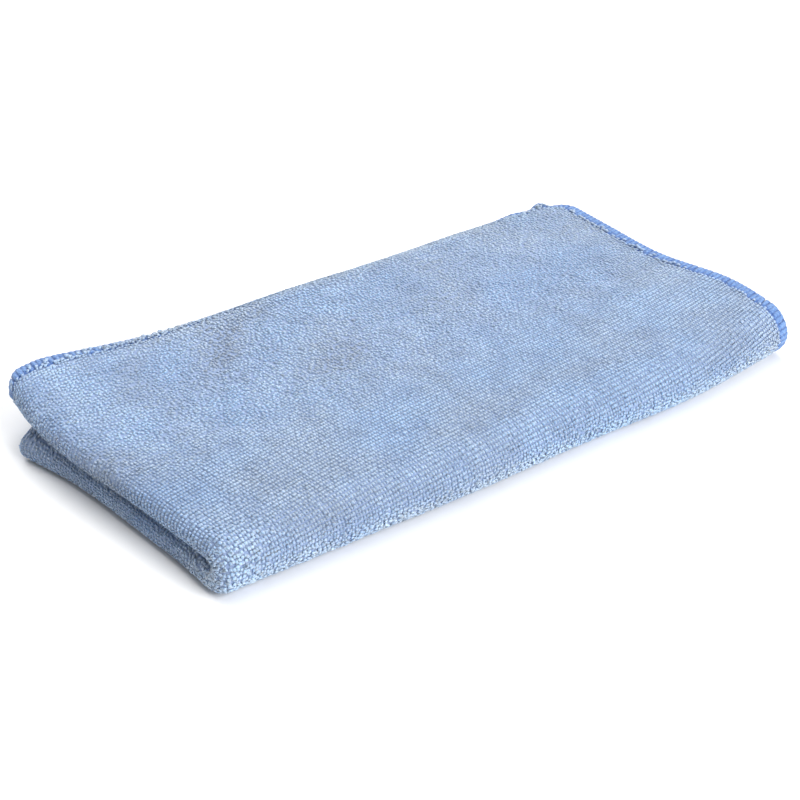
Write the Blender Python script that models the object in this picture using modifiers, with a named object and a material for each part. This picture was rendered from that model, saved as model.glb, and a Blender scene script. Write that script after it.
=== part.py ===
"""A square terry microfibre cloth with an overlocked edge, folded three times into a flat pad.

The square is modelled flat, at its real thickness, and is then folded in half as a hand folds it:
lengthwise, across, and lengthwise again. Each fold bends the whole thickness about one axis under the
stack, so that the layers nest and never touch. Short tables then give the cloth the uneven edges, and the
pad the uneven outline and height, of real cloth that lies loose.

Frame, in metres: +X towards the open right end, -X the two stacked loops of the left end, -Y the closed
front fold, +Y the back, +Z up. The origin is under the middle of the pad, on the surface it lies on.
"""

import math

import bpy
import numpy as np

# Driving dimensions of the flat cloth
CLOTH_SIDE = 0.400
CLOTH_THICKNESS = 0.0016
CORNER_RADIUS = 0.010
EDGING_WIDTH = 0.0045
EDGING_THICKNESS = 0.0015
SEAM_GAP = 0.0003

# The folded stack, from the middle of one layer to the middle of the next
LAYER_PITCH = 0.0021

# The folds in the order they are made
ALONG, ACROSS = 0, 1
FOLDS = [
    # halved direction, place of the crease, layers in the stack that is folded over
    (ACROSS, CLOTH_SIDE / 2, 1),
    (ALONG, CLOTH_SIDE / 2, 2),
    (ACROSS, CLOTH_SIDE / 4, 4),
]
PAD_LENGTH = CLOTH_SIDE / 2
PAD_WIDTH = CLOTH_SIDE / 4
PAD_HEIGHT = 7 * LAYER_PITCH + CLOTH_THICKNESS

# Mesh steps
BEND_STEPS = 8
FLAT_CELL = 0.018
CORNER_STEPS = 4

# How far each raw edge of the flat cloth strays outwards, in metres, and how far in from it that is felt.
# Each row runs along its edge in quarters of the side. The folded loop at the left end also draws in the
# raw edge that crosses it, by the tuck, over its reach to each side.
EDGE_REACH = 0.060
TUCK_REACH = 0.007
RAW_EDGES = [
    # direction it strays in, which end of it, tuck, stray at 0, 1/4, 1/2, 3/4 and 1 of the side
    (ALONG, 0.0, 0.0, (0.0000, 0.0000, -0.0015, 0.0005, -0.0080)),
    (ALONG, CLOTH_SIDE, 0.0, (-0.0010, 0.0010, 0.0015, -0.0010, -0.0025)),
    (ACROSS, 0.0, 0.003, (0.0000, 0.0000, 0.0000, -0.0015, -0.0010)),
    (ACROSS, CLOTH_SIDE, 0.004, (0.0055, -0.0010, -0.0005, 0.0010, -0.0020)),
]

# The pad's outline, as metres outwards from a plain oblong, at even steps along each side
BACK_BULGE = (0.0050, 0.0020, 0.0050, 0.0045, 0.0055, -0.0010)             # left to right
FRONT_BULGE = (0.0005, 0.0020, 0.0035, 0.0035, 0.0045, 0.0005)             # left to right
RIGHT_BULGE = (0.0000, 0.0025, -0.0015, -0.0005, 0.0005)                  # front to back
UPPER_LOOP_BULGE = (-0.0045, -0.0025, -0.0005, 0.0025, 0.0025, -0.0025)    # front to back
LOWER_LOOP_BULGE = (-0.0030, -0.0030, -0.0020, -0.0010, 0.0010, 0.0055)    # front to back

# The last fold was made past the middle and askew, so the back of the lower half is set in by this much
LOWER_SET_IN = (0.018, 0.014, 0.012, 0.010, 0.008, 0.002)                  # left to right

# Height: a swell as a share of the pad's height, a row for each step of the length, left to right
SWELL = [
    # front, middle, back
    (0.00, 0.00, 0.18),
    (0.02, 0.00, 0.05),
    (0.01, 0.01, 0.12),
    (0.01, 0.01, 0.04),
    (0.01, -0.06, 0.00),
]
# and how the top rolls down to the front fold and to the back edge, as a share of the height
FRONT_ROLL = 0.10
FRONT_ROLL_REACH = 0.030
BACK_ROLL = (0.00, 0.10, 0.35, 0.40, 0.38, 0.05)                           # left to right
BACK_ROLL_REACH = 0.012

CLOTH_COLOUR = (0.36, 0.47, 0.72, 1.0)
EDGING_COLOUR = (0.16, 0.34, 0.76, 1.0)


def clear_scene():
    for old in list(bpy.data.objects):
        bpy.data.objects.remove(old)


def yarn_material(name, colour, roughness):
    material = bpy.data.materials.new(name)
    material.use_nodes = True
    shader = material.node_tree.nodes["Principled BSDF"]
    shader.inputs["Base Color"].default_value = colour
    shader.inputs["Roughness"].default_value = roughness
    shader.inputs["Metallic"].default_value = 0.0
    return material


def smooth_table(values, share):
    """A table's value at a share, 0 to 1, of its length, on a smooth curve through its rows."""
    values = np.asarray(values, dtype=float)
    place = np.clip(share, 0.0, 1.0) * (len(values) - 1)
    row = np.minimum(place.astype(int), len(values) - 2)
    t = place - row
    padded = np.concatenate([[2 * values[0] - values[1]], values, [2 * values[-1] - values[-2]]])
    before, start, end, after = (padded[row + step] for step in range(4))
    cubic = 3 * (start - end) + after - before
    square = 2 * before - 5 * start + 4 * end - after
    return start + 0.5 * t * (end - before + t * (square + t * cubic))


def bend_radius(layers):
    """Radius of the middle of a stack that is folded over on itself."""
    return layers * LAYER_PITCH / 2


def creases(direction):
    """Places of the creases across one direction of the flat cloth, with half of each bend's length.

    A later fold goes through cloth that is already doubled, so it also creases the mirrored place.
    """
    found = {}
    for halved, place, layers in FOLDS:
        if halved == direction:
            for mirrored in (place, CLOTH_SIDE - place):
                found[mirrored] = math.pi * bend_radius(layers) / 2
    return sorted(found.items())


def grid_lines(direction, margin):
    """Lines of the mesh along one direction: close together round the bends, and wide between them."""
    lines = [margin]
    for place, half_bend in creases(direction) + [(CLOTH_SIDE - margin, 0.0)]:
        cells = math.ceil((place - half_bend - lines[-1]) / FLAT_CELL)
        lines.extend(np.linspace(lines[-1], place - half_bend, cells + 1)[1:])
        if half_bend:
            lines.extend(np.linspace(place - half_bend, place + half_bend, BEND_STEPS + 1)[1:])
    return np.array(lines)


def stray_edges(points):
    """Moves the raw edges of the flat cloth in or out, less and less further in."""
    moved = points.copy()
    for direction, edge, tuck, stray in RAW_EDGES:
        along = points[:, 1 - direction]
        loop = np.exp(-(((along - CLOTH_SIDE / 2) / TUCK_REACH) ** 2))
        felt = np.clip(1 - np.abs(points[:, direction] - edge) / EDGE_REACH, 0.0, 1.0) ** 2
        outwards = -1 if edge == 0.0 else 1
        moved[:, direction] += outwards * felt * (smooth_table(stray, along / CLOTH_SIDE) - tuck * loop)
    return moved


def fold_over(points, halved, place, layers):
    """Bends everything past a crease down and back under the stack, round half a turn."""
    radius = bend_radius(layers)
    axis_depth = (layers - 0.5) * LAYER_PITCH
    start = place - math.pi * radius / 2
    run = points[:, halved] - start
    turn = np.clip(run / radius, 0.0, math.pi)
    beyond = np.maximum(run - math.pi * radius, 0.0)
    reach = axis_depth + points[:, 2]
    folded = points.copy()
    folded[:, halved] = np.where(run < 0, points[:, halved], start + reach * np.sin(turn) - beyond)
    folded[:, 2] = np.where(run < 0, points[:, 2], reach * np.cos(turn) - axis_depth)
    return folded


def settle(points):
    """Gives the plain folded pad its uneven outline and height."""
    x, y, z = points.T
    right = np.clip(x / PAD_LENGTH + 0.5, 0.0, 1.0)
    back = np.clip(y / PAD_WIDTH + 0.5, 0.0, 1.0)
    height = z / PAD_HEIGHT - 0.5

    upper = 1 / (1 + np.exp(-10 * height))
    loops = upper * smooth_table(UPPER_LOOP_BULGE, back) + (1 - upper) * smooth_table(LOWER_LOOP_BULGE, back)
    settled_x = x + smooth_table(RIGHT_BULGE, back) * right**3 - loops * (1 - right) ** 3

    lower = 1 / (1 + np.exp(60 * height))
    set_in = smooth_table(LOWER_SET_IN, right) * lower * back**2 * (3 - 2 * back)
    bulge = smooth_table(BACK_BULGE, right) * back**2 - smooth_table(FRONT_BULGE, right) * (1 - back) ** 2
    settled_y = y + bulge - set_in

    front_swell, middle_swell, back_swell = (smooth_table(column, right) for column in zip(*SWELL))
    swell = (
        front_swell * (1 - back) * (1 - 2 * back)
        + middle_swell * 4 * back * (1 - back)
        + back_swell * back * (2 * back - 1)
    )
    front_roll = FRONT_ROLL * rolled_share(-y, FRONT_ROLL_REACH)
    back_roll = smooth_table(BACK_ROLL, right) * rolled_share(y, BACK_ROLL_REACH)
    settled_z = z * (1 + swell) * (1 - front_roll) * (1 - back_roll)
    return np.stack([settled_x, settled_y, settled_z], axis=1)


def rolled_share(outwards, reach):
    """How far a point is into the roll of a long edge, squared: 0 where it starts, 1 at the edge."""
    return np.clip((outwards - PAD_WIDTH / 2) / reach + 1, 0.0, 1.0) ** 2


def fold_mesh(mesh):
    """Folds a flat mesh with the cloth and lays the pad on its surface, open end towards +X."""
    points = np.empty(len(mesh.vertices) * 3, dtype=np.float32)
    mesh.vertices.foreach_get("co", points)
    points = stray_edges(points.reshape(-1, 3).astype(float))
    for halved, place, layers in FOLDS:
        points = fold_over(points, halved, place, layers)
    points[:, 0] = PAD_LENGTH / 2 - points[:, 0]
    points[:, 1] = PAD_WIDTH / 2 - points[:, 1]
    points[:, 2] += PAD_HEIGHT - CLOTH_THICKNESS / 2
    mesh.vertices.foreach_set("co", settle(points).ravel().astype(np.float32))
    mesh.update()


def add_piece(name, mesh, material, collection):
    mesh.name = name
    mesh.materials.clear()
    mesh.materials.append(material)
    mesh.shade_smooth()
    mesh.set_sharp_from_angle(angle=math.radians(50))
    piece = bpy.data.objects.new(name, mesh)
    collection.objects.link(piece)
    return piece


def evaluated_copy(source):
    """The mesh of an object with its modifiers or bevel applied; the object itself is removed."""
    mesh = bpy.data.meshes.new_from_object(source.evaluated_get(bpy.context.evaluated_depsgraph_get()))
    bpy.data.objects.remove(source)
    return mesh


def round_corners(points, margin):
    """Turns the square corners of a grid into arcs, and spreads the grid inside them."""
    radius = CORNER_RADIUS - margin
    half = CLOTH_SIDE / 2
    inner = half - CORNER_RADIUS
    offset = points[:, :2] - half
    past = np.clip((np.abs(offset) - inner) / radius, 0.0, 1.0)
    rounded = past * np.sqrt(1 - past[:, ::-1] ** 2 / 2)
    points[:, :2] += np.sign(offset) * radius * (rounded - past)
    return points


def build_cloth(collection):
    """The terry panel: one flat sheet inside the edging, given its thickness, then folded."""
    margin = EDGING_WIDTH + SEAM_GAP
    corner = (margin + CORNER_RADIUS) / 2
    first_rim = np.array([margin, corner])
    last_rim = CLOTH_SIDE - first_rim[::-1]
    lines = [
        np.concatenate([first_rim, grid_lines(direction, CORNER_RADIUS), last_rim])
        for direction in (ALONG, ACROSS)
    ]
    cells = [len(places) - 1 for places in lines]
    bpy.ops.mesh.primitive_grid_add(x_subdivisions=cells[ALONG], y_subdivisions=cells[ACROSS], size=1)
    flat = bpy.context.object
    points = np.array([vertex.co for vertex in flat.data.vertices])
    for direction in (ALONG, ACROSS):
        row = np.rint((points[:, direction] + 0.5) * cells[direction]).astype(int)
        points[:, direction] = lines[direction][row]
    flat.data.vertices.foreach_set("co", round_corners(points, margin).ravel())
    wall = flat.modifiers.new("Cloth thickness", "SOLIDIFY")
    wall.thickness = CLOTH_THICKNESS
    wall.offset = 0.0
    mesh = evaluated_copy(flat)
    fold_mesh(mesh)
    return add_piece("cloth", mesh, yarn_material("Terry microfibre", CLOTH_COLOUR, 0.95), collection)


def edging_path():
    """Middle of the edging round the flat cloth: four straight runs, each followed by its corner arc."""
    inset = EDGING_WIDTH / 2
    arc = CORNER_RADIUS - inset
    middle = CLOTH_SIDE / 2
    path = []
    for side in range(4):
        run = grid_lines(side % 2, CORNER_RADIUS)
        points = [(along, inset) for along in run]
        for step in range(1, CORNER_STEPS):
            angle = math.pi / 2 * step / CORNER_STEPS
            along = CLOTH_SIDE - CORNER_RADIUS + arc * math.sin(angle)
            points.append((along, CORNER_RADIUS - arc * math.cos(angle)))
        for along, out in points:
            u, v = along - middle, out - middle
            for _ in range(side):
                u, v = -v, u
            path.append((u + middle, v + middle))
    return path


def build_edging(collection):
    """The overlocked yarn band: a closed flattened tube round the panel's edge, folded with it."""
    path = edging_path()
    curve = bpy.data.curves.new("edging path", "CURVE")
    curve.dimensions = "3D"
    curve.twist_mode = "Z_UP"
    curve.bevel_depth = EDGING_WIDTH / 2
    curve.bevel_resolution = 2
    spline = curve.splines.new("POLY")
    spline.points.add(len(path) - 1)
    for point, (u, v) in zip(spline.points, path):
        point.co = (u, v, 0.0, 1.0)
    spline.use_cyclic_u = True
    flat = bpy.data.objects.new("flat edging", curve)
    flat.scale.z = EDGING_THICKNESS / EDGING_WIDTH
    bpy.context.scene.collection.objects.link(flat)
    bpy.context.view_layer.update()
    to_flat = flat.matrix_world.copy()
    mesh = evaluated_copy(flat)
    mesh.transform(to_flat)
    fold_mesh(mesh)
    return add_piece("edging", mesh, yarn_material("Overlock yarn", EDGING_COLOUR, 0.8), collection)


def centre_pad(pieces):
    """Puts the origin under the middle of the pad's outline."""
    points = np.array([vertex.co for piece in pieces for vertex in piece.data.vertices])
    middle = (points.min(axis=0) + points.max(axis=0)) / 2
    for piece in pieces:
        for vertex in piece.data.vertices:
            vertex.co.x -= middle[0]
            vertex.co.y -= middle[1]


clear_scene()
pad = bpy.data.collections.new("Folded microfibre cloth")
bpy.context.scene.collection.children.link(pad)
centre_pad([build_cloth(pad), build_edging(pad)])
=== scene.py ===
"""Looks of the folded terry microfibre cloth: its knitted ground, its pile loops and its overlocked edge.

Frame, in metres: +X towards the open right end, -X the two stacked loops of the left end, -Y the closed
front fold, +Y the back, +Z up. The flat cloth is (u, v, n): u along the first raw edge, v across it, and n
out of the face that ends up on the outside of the pad.
"""

import math

import bpy
import numpy as np
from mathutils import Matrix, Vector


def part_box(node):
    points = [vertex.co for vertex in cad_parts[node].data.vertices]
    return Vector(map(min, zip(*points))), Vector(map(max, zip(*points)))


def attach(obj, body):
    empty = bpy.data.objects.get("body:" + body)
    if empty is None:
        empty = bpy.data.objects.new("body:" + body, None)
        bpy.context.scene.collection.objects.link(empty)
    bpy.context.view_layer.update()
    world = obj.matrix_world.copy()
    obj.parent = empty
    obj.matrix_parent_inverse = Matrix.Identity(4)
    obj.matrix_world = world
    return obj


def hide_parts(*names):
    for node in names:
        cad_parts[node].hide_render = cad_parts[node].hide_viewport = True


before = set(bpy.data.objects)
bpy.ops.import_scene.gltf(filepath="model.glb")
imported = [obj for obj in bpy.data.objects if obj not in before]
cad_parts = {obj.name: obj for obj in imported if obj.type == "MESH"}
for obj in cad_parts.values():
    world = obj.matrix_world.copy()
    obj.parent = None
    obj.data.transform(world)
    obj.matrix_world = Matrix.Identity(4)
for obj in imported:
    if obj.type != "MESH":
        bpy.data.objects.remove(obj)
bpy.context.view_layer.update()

# ---------------------------------------------------------------------------------------------------------
# Knitted ground of the terry panel
# One square of microfibre jersey, cut 40 cm a side. It is folded in half lengthwise, across, and lengthwise
# again, and then lies loose, so that its folds bulge and sag a little.

CLOTH_SIDE = 0.400
CLOTH_THICKNESS = 0.0016          # pile and all
GROUND_FACE = 0.00040             # height of the bare knit under the pile, from the middle of the cloth
HELD_FACE = 0.00020               # and its height where the edging's stitches squeeze it
HELD_WITHIN, HELD_FADE = 0.0040, 0.0020     # so far in from the edge, and then fading over so much more
GROUND_MARGIN = 0.0012            # the raw edge runs this far inside the edging's outer line
PANEL_MARGIN = 0.0048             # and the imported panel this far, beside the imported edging
CORNER_RADIUS = 0.010
LAYER_PITCH = 0.0021              # from the middle of one layer of the pad to the middle of the next
ALONG, ACROSS = 0, 1
FOLDS = [
    # halved direction, place of the crease, layers in the stack that is folded over
    (ACROSS, CLOTH_SIDE / 2, 1),
    (ALONG, CLOTH_SIDE / 2, 2),
    (ACROSS, CLOTH_SIDE / 4, 4),
]
PAD_LENGTH, PAD_WIDTH = CLOTH_SIDE / 2, CLOTH_SIDE / 4
PAD_HEIGHT = 7 * LAYER_PITCH + CLOTH_THICKNESS

# How far each raw edge strays outwards at each quarter of its side, and how far in from it that is felt;
# the folded loop at the left end also draws in the edge that crosses it, by the tuck
EDGE_REACH, TUCK_REACH = 0.060, 0.007
RAW_EDGES = [
    # direction it strays in, which end of it, tuck, stray at 0, 1/4, 1/2, 3/4 and 1 of the side
    (ALONG, 0.0, 0.0, (0.0000, 0.0000, -0.0015, 0.0005, -0.0080)),
    (ALONG, CLOTH_SIDE, 0.0, (-0.0010, 0.0010, 0.0015, -0.0010, -0.0025)),
    (ACROSS, 0.0, 0.003, (0.0000, 0.0000, 0.0000, -0.0015, -0.0010)),
    (ACROSS, CLOTH_SIDE, 0.004, (0.0055, -0.0010, -0.0005, 0.0010, -0.0020)),
]

# The pad's outline, as metres outwards from a plain oblong, at even steps along each side
BACK_BULGE = (0.0050, 0.0020, 0.0050, 0.0045, 0.0055, -0.0010)              # left to right
FRONT_BULGE = (0.0005, 0.0020, 0.0035, 0.0035, 0.0045, 0.0005)              # left to right
RIGHT_BULGE = (0.0000, 0.0025, -0.0015, -0.0005, 0.0005)                   # front to back
UPPER_LOOP_BULGE = (-0.0045, -0.0025, -0.0005, 0.0025, 0.0025, -0.0025)     # front to back
LOWER_LOOP_BULGE = (-0.0030, -0.0030, -0.0020, -0.0010, 0.0010, 0.0055)     # front to back
LOWER_SET_IN = (0.018, 0.014, 0.012, 0.010, 0.008, 0.002)                   # left to right
LOOP_STEEPNESS, SET_IN_STEEPNESS = 10, 60     # of the change from the lower half to the upper

# Its height: a swell as a share of the height, a row for each step of the length, left to right, and how
# the top rolls down to the front fold and to the back edge
SWELL = [
    # front, middle, back
    (0.00, 0.00, 0.18),
    (0.02, 0.00, 0.05),
    (0.01, 0.01, 0.12),
    (0.01, 0.01, 0.04),
    (0.01, -0.06, 0.00),
]
FRONT_ROLL, FRONT_ROLL_REACH = 0.10, 0.030
BACK_ROLL, BACK_ROLL_REACH = (0.00, 0.10, 0.35, 0.40, 0.38, 0.05), 0.012    # left to right

# Soft creases of the top, as they lie: troughs have a depth above zero, and ridges one below it
CREASES = [
    # middle x and y, heading in degrees from +X, half length, half width, depth
    (-0.069, 0.035, 28, 0.011, 0.0024, 0.0004),
    (-0.052, 0.020, 56, 0.014, 0.0028, 0.0005),
    (-0.045, 0.029, 25, 0.005, 0.0028, 0.0003),
    (-0.030, 0.036, 38, 0.011, 0.0028, 0.0004),
    (-0.056, 0.031, 60, 0.014, 0.0050, -0.0003),
    (-0.084, 0.022, 85, 0.018, 0.0060, -0.0003),
    (0.019, 0.025, 35, 0.010, 0.0034, 0.0004),
    (0.003, 0.012, -20, 0.006, 0.0028, 0.0004),
    (-0.010, 0.017, 25, 0.005, 0.0026, 0.0003),
    (-0.006, 0.027, 70, 0.008, 0.0035, -0.0003),
    (-0.021, 0.003, 5, 0.009, 0.0038, 0.0004),
    (-0.066, -0.006, -50, 0.011, 0.0032, 0.0003),
    (-0.055, -0.023, 15, 0.009, 0.0045, -0.0003),
    (0.060, 0.019, 20, 0.012, 0.0038, 0.0004),
    (0.070, 0.028, -38, 0.011, 0.0042, -0.0004),
    (0.076, -0.006, 20, 0.010, 0.0032, 0.0007),
    (0.052, -0.016, 20, 0.012, 0.0040, 0.0003),
    (0.080, -0.019, 18, 0.013, 0.0040, -0.0003),
    (0.030, -0.041, 2, 0.060, 0.0040, 0.00015),
    (0.094, 0.004, 92, 0.036, 0.0026, 0.0003),
    (0.0920, 0.050, 0, 0.0019, 0.0060, -0.0019),
    (0.0970, 0.050, 0, 0.0022, 0.0060, 0.0007),
    (0.0640, 0.058, 0, 0.0150, 0.0030, 0.0013),
]


def smooth_table(values, share):
    """A table's value at a share, 0 to 1, of its length, on a smooth curve through its rows."""
    values = np.asarray(values, dtype=float)
    place = np.clip(share, 0.0, 1.0) * (len(values) - 1)
    row = np.minimum(place.astype(int), len(values) - 2)
    t = place - row
    padded = np.concatenate([[2 * values[0] - values[1]], values, [2 * values[-1] - values[-2]]])
    before, start, end, after = (padded[row + step] for step in range(4))
    cubic = 3 * (start - end) + after - before
    square = 2 * before - 5 * start + 4 * end - after
    return start + 0.5 * t * (end - before + t * (square + t * cubic))


def stray_edges(points):
    """Moves the raw edges of the flat cloth in or out: stray times (1 - distance / reach) squared."""
    moved = points.copy()
    for direction, edge, tuck, stray in RAW_EDGES:
        along = points[:, 1 - direction]
        loop = np.exp(-(((along - CLOTH_SIDE / 2) / TUCK_REACH) ** 2))
        felt = np.clip(1 - np.abs(points[:, direction] - edge) / EDGE_REACH, 0.0, 1.0) ** 2
        outwards = -1 if edge == 0.0 else 1
        moved[:, direction] += outwards * felt * (smooth_table(stray, along / CLOTH_SIDE) - tuck * loop)
    return moved


def fold_over(points, halved, place, layers):
    """Bends what is past a crease down and back under the stack: reach times the sine and cosine of a turn
    that goes from 0 to half a circle over the bend, where reach is the height over the bend's axis."""
    radius = layers * LAYER_PITCH / 2
    axis_depth = (layers - 0.5) * LAYER_PITCH
    start = place - math.pi * radius / 2
    run = points[:, halved] - start
    turn = np.clip(run / radius, 0.0, math.pi)
    beyond = np.maximum(run - math.pi * radius, 0.0)
    reach = axis_depth + points[:, 2]
    folded = points.copy()
    folded[:, halved] = np.where(run < 0, points[:, halved], start + reach * np.sin(turn) - beyond)
    folded[:, 2] = np.where(run < 0, points[:, 2], reach * np.cos(turn) - axis_depth)
    return folded


def bell(x, y, heading, half_length, half_width):
    """A long bell curve round the origin, turned by a heading in degrees: exp(-along² - across²)."""
    angle = math.radians(heading)
    along = (x * math.cos(angle) + y * math.sin(angle)) / half_length
    across = (y * math.cos(angle) - x * math.sin(angle)) / half_width
    return np.exp(-(along**2) - across**2)


def crease_depth(x, y):
    """Depth of the creases at a place: for each, its depth times a bell curve along and across it."""
    depth = np.zeros_like(x)
    for middle_x, middle_y, heading, half_length, half_width, deepest in CREASES:
        depth += deepest * bell(x - middle_x, y - middle_y, heading, half_length, half_width)
    return depth


def rolled_share(outwards, reach):
    """How far a point is into the roll of a long edge, squared: 0 where it starts, 1 at the edge."""
    return np.clip((outwards - PAD_WIDTH / 2) / reach + 1, 0.0, 1.0) ** 2


def settle(points):
    """Gives the plain folded pad its uneven outline and height, from the tables above."""
    x, y, z = points.T
    right = np.clip(x / PAD_LENGTH + 0.5, 0.0, 1.0)
    back = np.clip(y / PAD_WIDTH + 0.5, 0.0, 1.0)
    height = z / PAD_HEIGHT - 0.5

    upper = 1 / (1 + np.exp(-LOOP_STEEPNESS * height))
    upper_bulge, lower_bulge = smooth_table(UPPER_LOOP_BULGE, back), smooth_table(LOWER_LOOP_BULGE, back)
    loops = upper * upper_bulge + (1 - upper) * lower_bulge
    settled_x = x + smooth_table(RIGHT_BULGE, back) * right**3 - loops * (1 - right) ** 3

    lower = 1 / (1 + np.exp(SET_IN_STEEPNESS * height))
    set_in = smooth_table(LOWER_SET_IN, right) * lower * back**2 * (3 - 2 * back)
    back_bulge, front_bulge = smooth_table(BACK_BULGE, right), smooth_table(FRONT_BULGE, right)
    bulge = back_bulge * back**2 - front_bulge * (1 - back) ** 2
    settled_y = y + bulge - set_in

    front_swell, middle_swell, back_swell = (smooth_table(column, right) for column in zip(*SWELL))
    swell = (
        front_swell * (1 - back) * (1 - 2 * back)
        + middle_swell * 4 * back * (1 - back)
        + back_swell * back * (2 * back - 1)
    )
    front_roll = FRONT_ROLL * rolled_share(-y, FRONT_ROLL_REACH)
    back_roll = smooth_table(BACK_ROLL, right) * rolled_share(y, BACK_ROLL_REACH)
    settled_z = z * (1 + swell) * (1 - front_roll) * (1 - back_roll)
    return np.stack([settled_x, settled_y, settled_z], axis=1)


def fold(flat):
    """Strays, folds three times and settles places (u, v, n) of the flat cloth; not yet centred."""
    points = stray_edges(flat)
    for halved, place, layers in FOLDS:
        points = fold_over(points, halved, place, layers)
    points[:, 0] = PAD_LENGTH / 2 - points[:, 0]
    points[:, 1] = PAD_WIDTH / 2 - points[:, 1]
    points[:, 2] += PAD_HEIGHT - CLOTH_THICKNESS / 2
    return settle(points)


def round_corners(points, margin):
    """Turns the square corners of a flat grid into arcs: past the arc's start, each coordinate is scaled by
    the root of 1 - half the square of the other."""
    radius = CORNER_RADIUS - margin
    inner = CLOTH_SIDE / 2 - CORNER_RADIUS
    offset = points[:, :2] - CLOTH_SIDE / 2
    past = np.clip((np.abs(offset) - inner) / radius, 0.0, 1.0)
    rounded = past * np.sqrt(1 - past[:, ::-1] ** 2 / 2)
    points[:, :2] += np.sign(offset) * radius * (rounded - past)
    return points


FLAT_CELL, BEND_CELL = 0.004, 0.0006          # widest spacing of the lines between the bends and on them
EDGE_CELLS = 8                                # from the raw edge to where its corners' arcs start


def grid_lines(direction, margin):
    """Lines of a mesh along one direction: close together by the edges and round the bends, and wide
    between them."""
    lines = list(np.linspace(margin, CORNER_RADIUS, EDGE_CELLS + 1))
    creases = {}
    for halved, place, layers in FOLDS:
        if halved == direction:
            half_bend = math.pi * layers * LAYER_PITCH / 4
            creases.update({place: half_bend, CLOTH_SIDE - place: half_bend})
    for place, half_bend in sorted(creases.items()) + [(CLOTH_SIDE - CORNER_RADIUS, 0.0)]:
        cells = math.ceil((place - half_bend - lines[-1]) / FLAT_CELL)
        lines.extend(np.linspace(lines[-1], place - half_bend, cells + 1)[1:])
        cells = math.ceil(2 * half_bend / BEND_CELL)
        lines.extend(np.linspace(place - half_bend, place + half_bend, cells + 1)[1:])
    return np.array(lines + [CLOTH_SIDE - line for line in lines[EDGE_CELLS - 1 :: -1]])


def flat_grid(margin):
    """Places (u, v, 0) all over the flat panel inside a margin, and how many lines each way."""
    u, v = np.meshgrid(grid_lines(ALONG, margin), grid_lines(ACROSS, margin), indexing="ij")
    return round_corners(np.stack([u.ravel(), v.ravel(), np.zeros(u.size)], axis=1), margin), u.shape


def pad_shift():
    """From the folded panel's middle, in plan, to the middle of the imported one."""
    panel = np.tile(flat_grid(PANEL_MARGIN)[0], (2, 1))
    panel[:, 2] = np.repeat([CLOTH_THICKNESS / 2, -CLOTH_THICKNESS / 2], len(panel) // 2)
    panel = fold(panel)
    packed = (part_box("cloth")[0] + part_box("cloth")[1]) / 2
    return np.array([packed.x, packed.y]) - (panel.min(axis=0) + panel.max(axis=0))[:2] / 2


PAD_SHIFT = pad_shift()
TABLE_PRESS = 0.0004              # below this height the cloth is pressed flatter by the table


def lay(flat):
    """Places in the pad, as it lies, for places (u, v, n) in the flat cloth: folded, centred and creased,
    with heights under TABLE_PRESS squeezed towards 0 by an exponential."""
    points = fold(flat)
    points[:, :2] += PAD_SHIFT
    points[:, 2] *= 1 - crease_depth(points[:, 0], points[:, 1]) / PAD_HEIGHT
    pressed = TABLE_PRESS * np.exp(np.minimum(points[:, 2] / TABLE_PRESS, 1.0) - 1)
    points[:, 2] = np.where(points[:, 2] < TABLE_PRESS, pressed, points[:, 2])
    return points


def edge_distance(u, v):
    """Distance inwards from the flat cloth's rounded outline."""
    past = np.abs(np.stack([u, v]) - CLOTH_SIDE / 2) - (CLOTH_SIDE / 2 - CORNER_RADIUS)
    furthest = past.max(axis=0)
    return CORNER_RADIUS - np.where(furthest > 0, np.hypot(*np.maximum(past, 0.0)), furthest)


# What shows of the cloth in the pad. Of the outer face: the part up to a place in u and v, the folds within
# a reach of the middle crease, and an overhang up to a place in v. Of the inner face: one corner.
SHOWN_TO_U, SHOWN_TO_V = 0.214, 0.208
BACK_FOLD_REACH, OVERHANG_TO_V = 0.005, 0.022
INSIDE_TO_U, INSIDE_FROM_V = 0.080, 0.384
WIDE_FADE, NARROW_FADE = 0.004, 0.003


def share_past(distance, length):
    """A distance past a limit as a share of a length, kept between 0 and 1."""
    return np.clip(distance / length, 0.0, 1.0)


def piled(u, v):
    """1 where the outer face shows in the pad and carries modelled loops, 0 where layers hide it."""
    outside = share_past(SHOWN_TO_U - u, WIDE_FADE) * share_past(SHOWN_TO_V - v, NARROW_FADE)
    back_folds = np.clip(1 - (np.abs(v - CLOTH_SIDE / 2) - BACK_FOLD_REACH) / NARROW_FADE, 0.0, 1.0)
    overhang = share_past(OVERHANG_TO_V - v, WIDE_FADE)
    return np.maximum(np.maximum(outside, back_folds), overhang)


def piled_inside(u, v):
    """1 where the inner face of a lower layer shows at the back right and carries loops, 0 elsewhere."""
    return share_past(INSIDE_TO_U - u, WIDE_FADE) * share_past(v - INSIDE_FROM_V, NARROW_FADE)


def make_piece(name, points, faces):
    """A smooth mesh object at the origin, from its corners and arrays of faces with 3 or 4 corners."""
    sizes = np.concatenate([np.full(len(group), group.shape[1]) for group in faces])
    corners = np.concatenate([group.ravel() for group in faces])
    mesh = bpy.data.meshes.new(name)
    mesh.vertices.add(len(points))
    mesh.vertices.foreach_set("co", points.astype(np.float32).ravel())
    mesh.loops.add(len(corners))
    mesh.loops.foreach_set("vertex_index", corners.astype(np.int32))
    mesh.polygons.add(len(sizes))
    mesh.polygons.foreach_set("loop_start", (np.cumsum(sizes) - sizes).astype(np.int32))
    mesh.polygons.foreach_set("use_smooth", np.ones(len(sizes), dtype=bool))
    mesh.update(calc_edges=True)
    piece = bpy.data.objects.new(name, mesh)
    bpy.context.scene.collection.objects.link(piece)
    return piece


def point_values(piece, name, values):
    """Gives each corner of a piece a number that its material reads by name."""
    attribute = piece.data.attributes.new(name, "FLOAT", "POINT")
    attribute.data.foreach_set("value", values.astype(np.float32))


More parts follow.
